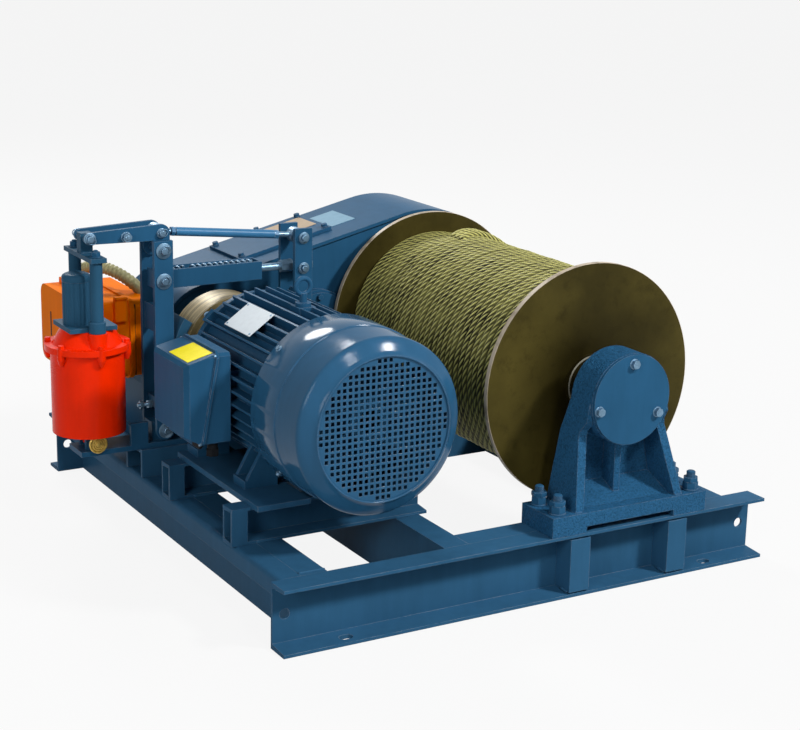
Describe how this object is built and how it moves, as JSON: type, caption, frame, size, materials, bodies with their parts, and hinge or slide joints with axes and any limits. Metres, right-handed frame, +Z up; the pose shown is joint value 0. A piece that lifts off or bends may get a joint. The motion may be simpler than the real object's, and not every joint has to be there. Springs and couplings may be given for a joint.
{
  "type": "electric winch",
  "caption": "Base-mounted electric winch: motor, thruster drum brake and wedge-shaped gear reducer drive a flanged rope drum on an outboard bearing pedestal.",
  "frame": {"origin": "centre of the four anchor slots, at the underside of the base frame", "axes": "+Z up, +Y from the fan and pedestal end to the reducer end, +X to the right of a person who looks at the fan"},
  "size_m": [1.383, 1.34, 0.716],
  "materials": {
    "frame_paint": "semi-gloss blue enamel",
    "machine_paint": "gloss blue enamel",
    "dark_paint": "dark blue enamel",
    "cast_paint": "blue enamel on a sand casting",
    "zinc": "zinc plated",
    "drum_steel": "olive brown oiled steel",
    "rope_steel": "greased galvanised wire rope",
    "thruster_red": "gloss red enamel",
    "housing_orange": "orange enamel",
    "wheel_iron": "machined and oiled"
  },
  "bodies": {
    "root": {"front_channel": "frame_paint", "rear_channel": "frame_paint", "left_beam": "frame_paint", "shelf_angle": "frame_paint", "middle_beam": "frame_paint", "right_beam": "frame_paint", "pedestal_beam": "frame_paint", "reducer_beams": "frame_paint", "pedestal_posts": "frame_paint", "motor_cross_members": "frame_paint", "motor_rails": "frame_paint", "brake_stand": "frame_paint", "bearing_pedestal": "cast_paint", "pedestal_cap": "cast_paint", "pedestal_studs": "dark_paint", "motor_body": "machine_paint", "end_shields": "machine_paint", "fan_cowl": "machine_paint", "terminal_box": "machine_paint", "lifting_eye": "machine_paint", "reducer_housing": "cast_paint", "reducer_cover": "machine_paint", "inspection_cover": "machine_paint", "bearing_covers": "machine_paint", "switch_bracket": "frame_paint", "switch_housing": "housing_orange", "brake_base": "frame_paint"},
    "drum": {"drum_shell": "drum_steel", "near_flange": "drum_steel", "far_flange": "drum_steel", "rope_winding": "rope_steel", "drum_shaft": "zinc"},
    "rotor": {"motor_shaft": "zinc", "cooling_fan": "dark_paint", "brake_wheel": "wheel_iron", "input_shaft": "zinc"},
    "thruster": {"thruster_body": "thruster_red", "thruster_motor": "dark_paint"},
    "yoke": {"thruster_yoke": "dark_paint"},
    "lever": {"brake_lever": "frame_paint"},
    "left_swing": {"left_arm": "frame_paint", "left_shoe": "dark_paint", "spring_tube": "frame_paint"},
    "right_swing": {"right_arm": "frame_paint", "right_shoe": "dark_paint", "spring_rod": "zinc"},
    "tie": {"tie_rod": "frame_paint"}
  },
  "joints": [
    {"name": "drum_spin", "type": "hinge", "parent": "root", "child": "drum", "pos_m": [0.226, 0, 0.412], "axis": [0, 1, 0], "continuous": true},
    {"name": "rotor_spin", "type": "hinge", "parent": "root", "child": "rotor", "pos_m": [-0.348, 0, 0.412], "axis": [0, 1, 0], "continuous": true},
    {"name": "left_arm_swing", "type": "hinge", "parent": "root", "child": "left_swing", "pos_m": [-0.522, 0.132, 0.243], "axis": [0, 1, 0], "range_deg": [-0.6, 0]},
    {"name": "right_arm_swing", "type": "hinge", "parent": "root", "child": "right_swing", "pos_m": [-0.174, 0.132, 0.243], "axis": [0, 1, 0], "range_deg": [0, 0.6]},
    {"name": "thruster_tilt", "type": "hinge", "parent": "root", "child": "thruster", "pos_m": [-0.689, 0.132, 0.237], "axis": [0, 1, 0], "range_deg": [0, 0.9]},
    {"name": "brake_release", "type": "slide", "parent": "thruster", "child": "yoke", "axis": [0, 0, 1], "range_m": [0, 0.03]},
    {"name": "lever_turn", "type": "hinge", "parent": "left_swing", "child": "lever", "pos_m": [-0.522, 0.132, 0.658], "axis": [0, 1, 0], "range_deg": [0, 12]},
    {"name": "tie_rod_turn", "type": "hinge", "parent": "right_swing", "child": "tie", "pos_m": [-0.174, 0.132, 0.66], "axis": [0, 1, 0], "range_deg": [-0.8, 0]}
  ],
  "couplings": [
    {"joint": "rotor_spin", "follows": "drum_spin", "ratio": 31.5},
    {"joint": "left_arm_swing", "follows": "brake_release", "rad_per_m": -0.28178},
    {"joint": "right_arm_swing", "follows": "brake_release", "rad_per_m": 0.28178},
    {"joint": "thruster_tilt", "follows": "brake_release", "rad_per_m": 0.42877},
    {"joint": "lever_turn", "follows": "brake_release", "rad_per_m": 6.428},
    {"joint": "tie_rod_turn", "follows": "brake_release", "rad_per_m": -0.34347}
  ]
}
